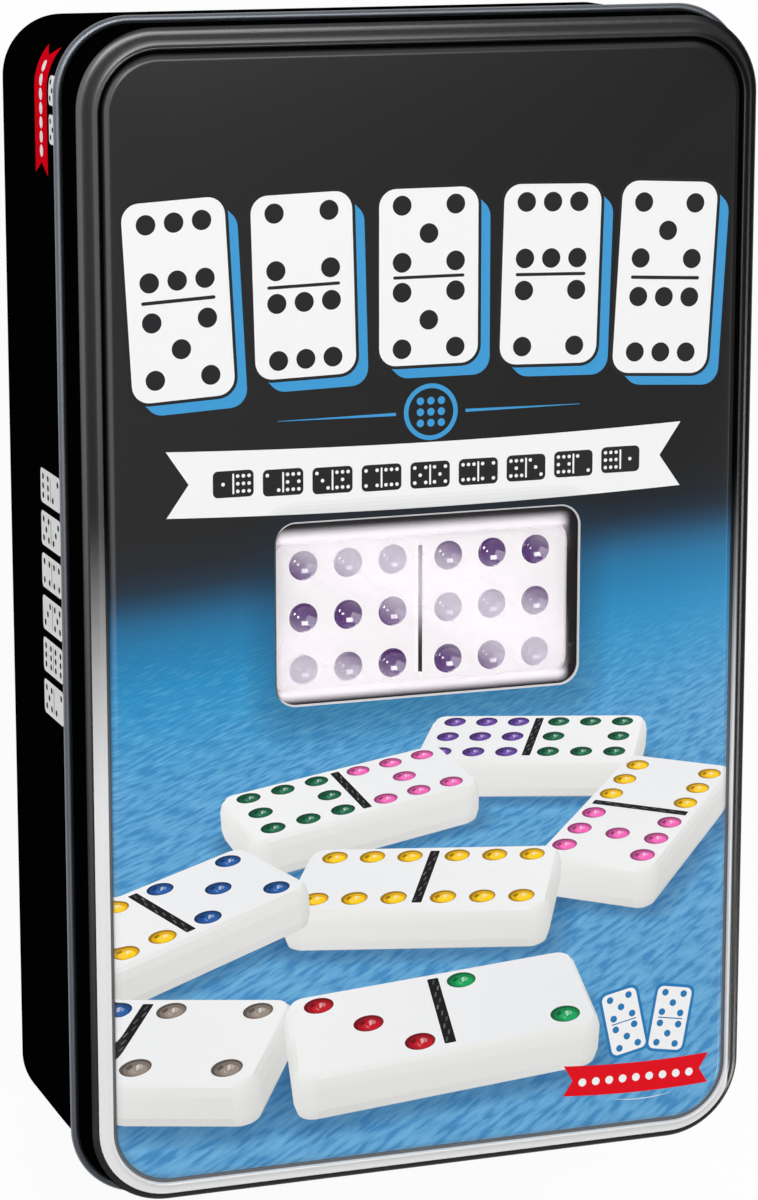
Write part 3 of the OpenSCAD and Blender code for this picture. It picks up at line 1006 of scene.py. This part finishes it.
def fade(start, end, first, second):
    """Colour that runs evenly from first at start to second at end."""
    start, end = np.array(start, float), np.array(end, float)
    run = end - start
    first, second = np.array(first, float), np.array(second, float)

    def fill(p):
        t = np.clip(((p - start) @ run) / (run @ run), 0, 1)[:, None]
        return first * (1 - t) + second * t

    return fill


def opaque(r, g, b, alpha=1.0):
    return (*srgb(r, g, b), alpha)


def turned(points, degrees, middle):
    """Points turned about the origin and then moved."""
    a = math.radians(degrees)
    c, s = math.cos(a), math.sin(a)
    return np.asarray(points) @ np.array([[c, s], [-s, c]]) + np.array(middle)


def bar(w, h, r, degrees=0.0, middle=(0.0, 0.0), steps=6):
    """Outline of a rounded bar w by h."""
    r = min(r, w / 2 - 1e-4, h / 2 - 1e-4)
    corners = [((w / 2 - r), (h / 2 - r), 0), (-(w / 2 - r), (h / 2 - r), 90),
               (-(w / 2 - r), -(h / 2 - r), 180), ((w / 2 - r), -(h / 2 - r), 270)]
    line = np.vstack([arc((x, y), r, s, s + 90, steps) for x, y, s in corners])
    return turned(line, degrees, middle)


def disc(r, middle, steps=24, r_y=None):
    a = np.arange(steps) * TAU / steps
    return np.stack([r * np.cos(a), (r_y or r) * np.sin(a)], -1) + np.array(middle)


def lies_in(outline, points):
    """Whether each point is inside the outline: a ray to its right crosses it an odd number of times."""
    low, high = outline.min(0), outline.max(0)
    near = np.nonzero(((points >= low) & (points <= high)).all(1))[0]
    p, q = outline[:, None, :], np.roll(outline, -1, 0)[:, None, :]
    x, y = points[near, 0], points[near, 1]
    spans = (p[..., 1] > y) != (q[..., 1] > y)
    rise = np.where(spans, q[..., 1] - p[..., 1], 1.0)
    crossing = p[..., 0] + (y - p[..., 1]) * (q[..., 0] - p[..., 0]) / rise
    inside = np.zeros(len(points), bool)
    inside[near] = (spans & (x < crossing)).sum(0) % 2 == 1
    return inside


def cut_shapes(outlines):
    """Points and triangles of the plane, cut along every outline."""
    coords = [Vector(map(float, p)) for outline in outlines for p in outline]
    ends = np.cumsum([0] + [len(o) for o in outlines]).tolist()
    edges = [
        (i, i + 1 if i + 1 < q else p) for p, q in zip(ends, ends[1:]) for i in range(p, q)
    ]
    flat, _, tris, *_ = geometry.delaunay_2d_cdt(coords, edges, [], 0, 1e-6, False)
    return np.array([tuple(v) for v in flat]), np.array(tris)


def lay_inks(inks, corners, member):
    """Colour and alpha at each triangle's corners: its shapes' inks, each over the ones before,
    c = (c1 a1 + c0 a0 (1 - a1)) / a, where a = a1 + a0 (1 - a1)."""
    tint = np.zeros((len(corners), 3, 4))
    for (_, fill), inside in zip(inks, member.T):
        rows = np.nonzero(inside)[0]
        if not len(rows):
            continue
        if fill is None:
            tint[rows] = 0
            continue
        if callable(fill):
            over = fill(corners[rows].reshape(-1, 2)).reshape(-1, 3, 4)
        else:
            over = np.broadcast_to(np.array(fill, float), (len(rows), 3, 4))
        below = tint[rows]
        a, b = over[..., 3:], below[..., 3:]
        both = a + b * (1 - a)
        colour = (over[..., :3] * a + below[..., :3] * b * (1 - a)) / np.maximum(both, 1e-6)
        tint[rows] = np.concatenate([colour, both], -1)
    return tint


def print_mesh(name, inks, lay, paint, body, ground=None, hole=None, contours=()):
    """Printed shapes as one closed coat PRINT_T thick. The shapes are cut into triangles together,
    so that each triangle lies in the same shapes all over, and each triangle's corners take
    the colours of its shapes laid over each other in order. lay turns drawn points into points
    of the printed surface and their outward directions; the surface bends along the contours."""
    lead = [outline for outline in (ground, hole) if outline is not None]
    outlines = lead + [outline for outline, _ in inks]
    flat, tris = cut_shapes(outlines + list(contours))
    middles = flat[tris].mean(1)
    member = np.stack([lies_in(outline, middles) for outline in outlines], -1)
    keep = member[:, 0].copy() if ground is not None else member.any(1)
    if hole is not None:
        keep &= ~member[:, 1]
    tris, member = tris[keep], member[keep]
    tint = lay_inks(inks, flat[tris], member[:, len(lead) :])
    used, flat_index = np.unique(tris, return_inverse=True)
    tris = flat_index.reshape(-1, 3)
    surface, out = lay(flat[used])
    count = len(surface)
    points = np.vstack([surface, surface - out * PRINT_T])
    # Edges that only one triangle has are the coat's rims.
    edges = np.concatenate([tris[:, [0, 1]], tris[:, [1, 2]], tris[:, [2, 0]]])
    key = edges[:, 0].astype(np.int64) * count + edges[:, 1]
    back = edges[:, 1].astype(np.int64) * count + edges[:, 0]
    lone = edges[~np.isin(key, back)]
    rim = np.stack([lone[:, 1], lone[:, 0], lone[:, 0] + count, lone[:, 1] + count], -1)
    piece = make_mesh(
        name, points, [tris, tris[:, ::-1] + count, rim], [paint], [0, 0, 0], body, (), 30
    )
    colours = piece.data.color_attributes.new(name="ink", type="FLOAT_COLOR", domain="CORNER")
    values = np.zeros((len(piece.data.loops), 4), np.float32)
    values[:, 3] = 0 if ground is not None else 1
    values[: len(tris) * 3] = tint.reshape(-1, 4)
    values[len(tris) * 3 : len(tris) * 6] = tint[:, ::-1].reshape(-1, 4)
    colours.data.foreach_set("color", values.ravel())


BLUE_INK = opaque(64, 152, 208)
WHITE_INK = opaque(240, 240, 240)
BLACK_INK = opaque(38, 38, 40)
RED_INK = opaque(222, 6, 26)


def upright_domino(middle, w, h, top, bottom, degrees=0.0, face=WHITE_INK, marks=BLACK_INK):
    """A flat drawn domino standing on its short side, with its pips and dividing line."""
    inks = [ink(bar(w, h, w * 0.17, degrees, middle, 8), face)]
    inks.append(ink(turned(bar(w * 0.72, h * 0.018, h * 0.009), degrees, middle), marks))
    for value, sign in ((top, 1), (bottom, -1)):
        for u, v in pip_spots(value):
            spot = np.array([[u * w * 0.27, sign * h * 0.245 + v * w * 0.27]])
            inks.append(ink(disc(w * 0.095, turned(spot, degrees, middle)[0], 20), marks))
    return inks


def swallow_ribbon(length, height, rise, notch, degrees, middle):
    """A ribbon whose two ends are notched; its edges bow by the rise at the ends."""
    x = np.linspace(-length / 2, length / 2, 25)
    bow = rise * (2 * x / length) ** 2
    top = np.stack([x, height / 2 + bow], -1)
    low = np.stack([x, -height / 2 + bow], -1)[::-1]
    right = [(length / 2 - notch, rise * 0.9)]
    left = [(-length / 2 + notch, rise * 0.9)]
    return turned(np.vstack([top, right, low, left]), degrees, middle)


def on_panel(p):
    """Points of the drawn table scene, seen by a pinhole TABLE_ANGLE above the table."""
    rise, run = math.sin(TABLE_ANGLE), math.cos(TABLE_ANGLE)
    away = np.asarray(p, float) + (0, TABLE_RANGE * run, -TABLE_RANGE * rise)
    deep = away[:, 1] * run - away[:, 2] * rise
    up = away[:, 1] * rise + away[:, 2] * run
    return np.stack([TABLE_ZOOM * away[:, 0] / deep, TABLE_ZOOM * up / deep], -1) + TABLE_POINT


# Display colours of the drawn pips, by their number.
PRINT_COLOURS = {
    1: (90, 160, 210), 2: (24, 150, 84), 3: (178, 24, 38), 4: (140, 128, 118), 5: (36, 84, 150),
    6: (250, 190, 28), 7: (226, 96, 170), 8: (24, 96, 66), 9: (98, 66, 150),
}


def lying_shadow(x, y, degrees):
    """Soft shadow of a drawn domino on the cloth."""
    inks = []
    for grow in np.linspace(4.4, 0.2, 8):
        shade = bar(TILE_L + 2 * grow, TILE_W + 2 * grow, TILE_CORNER + grow, 0, (0.5, -0.3), 6)
        line = np.column_stack([turned(shade, degrees, (x, y)), np.zeros(len(shade))])
        inks.append(ink(on_panel(line), (*srgb(16, 62, 108), 0.075)))
    return inks


def lying_pips(x, y, degrees, side, value):
    """Drawn pips of one half: a dark dimple, lighter towards its near side, with glints."""
    base = np.array(PRINT_COLOURS[value], float)
    pale = opaque(*(base * 0.35 + 162))[:3]
    patches = [
        (disc(2.5, (0, 0), 24), opaque(*(base * 0.62))),
        (disc(2.1, (0.2, -0.3), 22), opaque(*(base * 0.9))),
        (disc(1.5, (0.45, -0.7), 18), opaque(*np.minimum(base * 1.1, 255))),
        ([(-1.7, 0.2), (-0.9, 1.2), (-0.5, 0.3), (-1.1, -0.5)], opaque(*(base * 0.45), 0.7)),
        ([(0.0, 0.7), (0.5, 1.0), (0.65, -0.3), (0.2, -0.9)], (*pale, 0.9)),
        ([(0.6, 1.0), (1.15, 0.5), (1.1, -0.4), (0.75, -0.4)], (*pale, 0.45)),
        ([(-0.5, -0.3), (0.05, -1.1), (0.3, -1.6), (-0.3, -1.3)], (*pale, 0.35)),
    ]
    inks = []
    for u, v in pip_spots(value):
        middle = turned([(side * HALF_CENTRE + u * PITCH_L, v * PITCH_W)], degrees, (x, y))[0]
        for patch, fill in patches:
            line = np.array(patch) + middle
            inks.append(ink(on_panel(np.column_stack([line, np.full(len(line), TILE_T)])), fill))
    return inks


def lying_domino(x, y, degrees, a, b):
    """A drawn domino lying on the cloth: sides shaded by the way they face, rounded edge, face,
    dimples and dividing line, each projected from its own height."""

    def lifted(line, z):
        return on_panel(np.column_stack([turned(line, degrees, (x, y)), np.full(len(line), z)]))

    def plan(inset, steps=15):
        return bar(TILE_L - 2 * inset, TILE_W - 2 * inset, TILE_CORNER - inset, 0, (0, 0), steps)

    # Inset, height and tone of each level of the sides, from the cloth up.
    levels = [
        (1.5, 0.1, -34), (0.5, 0.8, -14), (0.0, 2.6, -5), (0.0, 6.6, 0), (0.45, 8.2, 5), (1.2, 8.9, 12),
    ]
    loops = [lifted(plan(inset), z) for inset, z, _ in levels]
    world = turned(plan(0.0), degrees, (0, 0))
    inks = [ink(loops[-1], opaque(240, 240, 241))]
    for i in range(len(world)):
        j = (i + 1) % len(world)
        edge = world[j] - world[i]
        if np.hypot(*edge) < 1e-6:
            continue
        facing = np.array([edge[1], -edge[0]]) / np.hypot(*edge)
        if facing[1] > 0.5:
            continue
        tone = 221 + 10 * (facing @ np.array([-0.6, -0.8]))
        for k in range(len(levels) - 1):
            quad = np.array([loops[k][i], loops[k][j], loops[k + 1][j], loops[k + 1][i]])
            if np.cross(quad[2] - quad[0], quad[3] - quad[1]) < 1e-4:
                continue
            dim, bright = tone + levels[k][2], tone + levels[k + 1][2]
            start, end = (quad[0] + quad[1]) / 2, (quad[2] + quad[3]) / 2
            first, second = opaque(dim, dim, dim - 3), opaque(bright, bright, bright - 1)
            inks.append(ink(quad, fade(start, end, first, second)))
    face = lifted(plan(1.2, 9), TILE_T)
    low_end, high_end = face[np.argmin(face[:, 1])], face[np.argmax(face[:, 1])]
    inks.append(ink(face, fade(low_end, high_end, opaque(242, 242, 242), opaque(236, 237, 239))))
    inks.append(ink(lifted(bar(1.9, 21.0, 0.3), TILE_T), opaque(26, 26, 28)))
    for k in range(10):
        fleck = np.array([(-0.3, -0.7), (0.0, -0.75), (0.28, 0.6), (0.0, 0.7)])
        middle = ((k * 3 % 5 - 2) * 0.22, -9.2 + 2.05 * k)
        inks.append(ink(lifted(fleck + middle, TILE_T), opaque(150, 150, 154, 0.25 + 0.1 * (k % 3))))
    for side, value in ((-1, a), (1, b)):
        if value:
            inks += lying_pips(x, y, degrees, side, value)
    return inks


def title_row():
    """Five upright dominoes with a blue drop shadow, leaning apart from the middle one."""
    w, inks = 16.4, []
    row = [(-40.4, 51.6, 30.6, 6, 5, 3.0), (-20.3, 53.0, 28.4, 4, 6, 1.5), (0.2, 53.5, 27.6, 5, 5, 0.0),
           (20.6, 53.0, 28.4, 6, 4, -1.5), (40.2, 51.6, 30.6, 5, 6, -3.0)]
    for x, y, h, top, bottom, lean in row:
        for slip in np.linspace(2.0, 0.9, 3):
            inks.append(ink(bar(w, h, 2.8, lean, (x + slip, y - slip), 8), BLUE_INK))
        inks.append(ink(bar(w + 1.0, h + 1.0, 3.2, lean, (x, y), 8), BLACK_INK))
        inks += upright_domino((x, y), w, h, top, bottom, lean)
    return inks


def pip_ring():
    """A ring round nine pips, with a tapering line to each side."""
    x, y = 0.6, 32.2
    inks = [ink(disc(4.5, (x, y), 48), BLUE_INK), ink(disc(3.75, (x, y), 48), None)]
    for u in (-1, 0, 1):
        for v in (-1, 0, 1):
            inks.append(ink(disc(0.62, (x + 1.75 * u, y + 1.75 * v), 16), BLUE_INK))
    for start, end in ((-5.2, -24.6), (6.4, 25.8)):
        inks.append(ink([(start, 32.35), (end, 32.12), (end, 32.04), (start, 31.85)], BLUE_INK))
    return inks


def domino_ribbon():
    """White ribbon with nine small lying dominoes."""
    inks = [ink(swallow_ribbon(86.0, 10.4, 0.9, 3.6, 0.0, (0.3, 22.2)), WHITE_INK)]
    for k in range(9):
        x = -32.2 + k * 8.1
        y = 22.2 + 0.9 * (x / 43.0) ** 2
        inks.append(ink(bar(6.6, 4.2, 0.8, 0, (x + 0.3, y)), BLACK_INK))
        inks.append(ink(bar(0.3, 3.2, 0.1, 0, (x + 0.3, y)), WHITE_INK))
        for side, value in ((-1, k + 1), (1, 9 - k)):
            for u, v in pip_spots(value):
                spot = (x + 0.3 + side * 1.65 + u * 0.92, y + v * 1.2)
                inks.append(ink(disc(0.3, spot, 10), WHITE_INK))
    return inks


def window_shade():
    """Soft dark edge printed round the window, a little towards the near end."""
    inks = []
    for grow in np.linspace(5.5, 0.3, 9):
        outline = bar(WINDOW["w"] + 2 * grow, WINDOW["l"] + 2 * grow, WINDOW["r"] + grow, 0,
                      (WINDOW["x"], WINDOW["y"] - 2.0))
        inks.append(ink(outline, (*srgb(28, 48, 66), 0.05)))
    return inks


def table_scene():
    """Seven dominoes on the cloth, by place, turn and numbers: all the shadows, and then the
    dominoes from the far end to the near one."""
    table = [(24, 112, -12, 9, 8), (-16, 92, 22, 8, 7), (44, 70, 62, 7, 6), (0, 49, -10, 6, 6),
             (-49, 45, 38, 6, 5), (-49, 2, -12, 5, 4), (2.6, 0, 8, 3, 2)]
    inks = []
    for spec in table:
        inks += lying_shadow(*spec[:3])
    for spec in sorted(table, key=lambda s: -s[1]):
        inks += lying_domino(*spec)
    return inks


def corner_mark():
    """Small mark at the near right corner: two dominoes over a dotted red ribbon and a curve."""
    w, h, mark_blue = 6.2, 10.8, opaque(36, 120, 178)
    inks = []
    for x, y, lean in ((34.9, -71.7, 12.0), (43.2, -72.0, -10.0)):
        inks.append(ink(bar(w + 1.0, h + 1.0, 1.4, lean, (x, y)), mark_blue))
        inks += upright_domino((x, y), w, h, 5, 5, lean, WHITE_INK, mark_blue)
    inks.append(ink(swallow_ribbon(26.0, 5.2, 0.5, 1.6, -1.0, (37.2, -81.6)), RED_INK))
    for k in range(9):
        inks.append(ink(disc(0.7, (27.6 + k * 2.4, -81.45 - 0.04 * k), 12), WHITE_INK))
    x = np.linspace(-5.5, 5.5, 17)
    curve = np.stack([x, -0.02 * (30 - x**2)], -1)
    thin = np.stack([x, -0.016 * (30 - x**2)], -1)[::-1]
    return inks + [ink(np.vstack([curve, thin]) + (38.2, -84.9), WHITE_INK)]


def lid_inks():
    """The panel's print, from its far end to its near end."""
    return title_row() + pip_ring() + domino_ribbon() + window_shade() + table_scene() + corner_mark()


def wall_inks(flip):
    """Print of a long wall, along the box and up it: a red ribbon and a small domino at the far
    end, and a row of six upright dominoes in the middle."""
    inks = [ink(swallow_ribbon(20.4, 7.4, 0.0, 1.8, 0, (79.2 * flip, 25.8)), RED_INK)]
    for k in range(7):
        inks.append(ink(disc(0.95, ((72.6 + 2.2 * k) * flip, 25.8), 14), WHITE_INK))
    for k in range(2):
        inks += upright_domino(((76.4 + 6.0 * k) * flip, 34.6), 4.6, 8.0, 4, 5)
    for k in range(6):
        inks += upright_domino(((19.2 - 6.9 * k) * flip, 27.4), 5.6, 12.0, 2 + k % 5, 6 - k % 4)
    return inks


def build_prints():
    """The panel's coat, with the window left out, and a coat on each long wall."""
    window_room = 0.3

    def ring(depth):
        return lid_loops(depth, 0.0)[0][:, :2]

    def on_lid(points):
        """The panel's plane, and its bevel by the distance in from the skirt's rounded rectangle."""
        radius = lid_corner(0.0, 0.0)
        past = np.abs(points - (SLIP_X, SLIP_Y)) - np.array([LID_W / 2, LID_L / 2 - SLIP_L]) + radius
        outside = np.linalg.norm(np.maximum(past, 0), axis=1)
        fall = bevel_drop(radius - outside - np.minimum(past.max(1), 0))
        return np.column_stack([points, TIN_H - fall]), np.array([0.0, 0.0, 1.0])

    def on_wall(side):
        """A long wall and its corners: u runs along the wall and, past the flat part, round an arc
        x = c + r cos(u / r), y = d + r sin(u / r)."""
        def lay(points):
            u, z = points.T
            radius = base_corner(z)
            flat = BASE_L / 2 - radius
            angle = np.maximum(np.abs(u) - flat, 0) / radius
            r = radius + PRINT_T
            x = BASE_W / 2 - radius + r * np.cos(angle)
            y = np.sign(u) * (np.minimum(np.abs(u), flat) + r * np.sin(angle))
            out = np.stack([np.cos(angle), np.sign(u) * np.sin(angle), np.zeros(len(u))], -1)
            return np.stack([side * x, side * y, z], -1), out * (side, side, 1)
        return lay

    contours = [ring(depth) for depth in BEVEL[:-1, 0]]
    hole = rounded_loops(
        [WINDOW["w"] / 2 + window_room], [WINDOW["l"] / 2 + window_room], [WINDOW["r"] + window_room],
        [0.0], (WINDOW["x"], WINDOW["y"]),
    )[0][:, :2]
    print_mesh("panel_print", lid_inks(), on_lid, panel_print, "lid",
               ring(PRINT_IN), hole, contours)
    for side, name in ((-1, "wall_print_left"), (1, "wall_print_right")):
        # Upright lines along which the coat bends round the corner at the wall's far end.
        steps = side * np.arange(81.0, 93.0, 0.75)
        bends = [np.array([(p, 20.0), (q, 20.0), (q, 40.0), (p, 40.0)])
                 for p, q in zip(steps, steps[1:])]
        print_mesh(name, wall_inks(side), on_wall(side), wall_print, "base",
                   contours=bends)


build_lid()
build_pane()
build_base()
build_tray()
build_cover()
build_dominoes()
build_prints()


# ---------------------------------------------------------------- stage, lights, camera


def build_floor():
    """Pale floor under the box. Camera, mirror and glass rays see it a little brighter."""
    paint = Paint("floor_white")
    path = paint.node("ShaderNodeLightPath", {})
    outs = path.socket.node.outputs
    seen = Value(paint, outs["Is Camera Ray"]) + Value(paint, outs["Is Glossy Ray"])
    seen = (seen + Value(paint, outs["Is Transmission Ray"])).math("MINIMUM", 1.0)
    paint.coat(Base_Color=(0.93, 0.93, 0.93), Roughness=0.6, Specular_IOR_Level=0.2)
    glow = paint.node("ShaderNodeEmission", {}, (1.0, 1.0, 1.0), 1.0)
    surface = Value(paint, paint.shader.outputs[0])
    blend = paint.node("ShaderNodeMixShader", {}, seen * 0.93, surface, glow)
    paint.tree.links.new(blend.socket, paint.tree.nodes["Material Output"].inputs[0])
    mesh = bpy.data.meshes.new("floor")
    half = 3.0
    mesh.from_pydata([(-half, -half, 0), (half, -half, 0), (half, half, 0), (-half, half, 0)], [],
                     [(0, 1, 2, 3)])
    mesh.materials.append(paint.material)
    floor = bpy.data.objects.new("floor", mesh)
    bpy.context.scene.collection.objects.link(floor)


def build_world(strength):
    """Even grey room. Mirrors see it darken to the right, and the camera sees white."""
    world = bpy.data.worlds.new("studio")
    bpy.context.scene.world = world
    world.use_nodes = True
    nodes, links = world.node_tree.nodes, world.node_tree.links
    path = nodes.new("ShaderNodeLightPath")
    shaders = [nodes["Background"], nodes.new("ShaderNodeBackground"), nodes.new("ShaderNodeBackground")]
    for shader, level in zip(shaders, (strength, 0.0, 1.0)):
        shader.inputs[0].default_value = (1, 1, 1, 1)
        shader.inputs[1].default_value = level
    place = nodes.new("ShaderNodeTexCoord")
    parts = nodes.new("ShaderNodeSeparateXYZ")
    fall = nodes.new("ShaderNodeMapRange")
    for index, value in enumerate((0.0, 0.5, 0.8, 0.25, 0.02)):
        fall.inputs[index].default_value = value
    links.new(place.outputs["Generated"], parts.inputs[0])
    links.new(parts.outputs[0], fall.inputs[0])
    links.new(fall.outputs[0], shaders[1].inputs[1])
    blend = shaders[0].outputs[0]
    for ray, shader in (("Is Glossy Ray", shaders[1]), ("Is Camera Ray", shaders[2])):
        mixer = nodes.new("ShaderNodeMixShader")
        links.new(path.outputs[ray], mixer.inputs[0])
        links.new(blend, mixer.inputs[1])
        links.new(shader.outputs[0], mixer.inputs[2])
        blend = mixer.outputs[0]
    links.new(blend, nodes["World Output"].inputs[0])


def soft_light(name, place, size, power):
    """Rectangular lamp that faces the origin."""
    light = bpy.data.lights.new(name, "AREA")
    light.shape = "RECTANGLE"
    light.size, light.size_y = size
    light.energy = power
    lamp = bpy.data.objects.new(name, light)
    lamp.location = place
    lamp.rotation_euler = (Vector((0, 0, 0)) - Vector(place)).to_track_quat("-Z", "Y").to_euler()
    bpy.context.scene.collection.objects.link(lamp)


def build_camera():
    """Camera above the box, where the photograph was taken from."""
    camera = bpy.data.cameras.new("camera")
    camera.lens = 116.48
    camera.sensor_width = 36.0
    camera_object = bpy.data.objects.new("camera", camera)
    camera_object.location = (-0.20757, 0.13220, 0.61347)
    camera_object.rotation_euler = (-0.213428, -0.340355, 0.0)
    bpy.context.scene.collection.objects.link(camera_object)
    bpy.context.scene.camera = camera_object
    bpy.context.scene.view_settings.view_transform = "Standard"


# Place, size and power of each lamp. The square one and the two dots give the pips' highlights.
LAMPS = {
    "key_left": ((-0.55, 0.25, 0.80), (1.0, 1.1), 4.6),
    "key_square": ((0.02, 0.50, 1.10), (0.74, 0.50), 6.6),
    "dot_middle": ((0.72, -0.24, 0.92), (0.2, 0.2), 0.9),
    "dot_near": ((0.98, -0.55, 0.46), (0.2, 0.2), 1.2),
    "top_back": ((0.25, 0.95, 0.60), (0.8, 0.4), 0.3),
}

build_floor()
build_world(0.25)
for lamp_name, lamp_values in LAMPS.items():
    soft_light(lamp_name, *lamp_values)
build_camera()
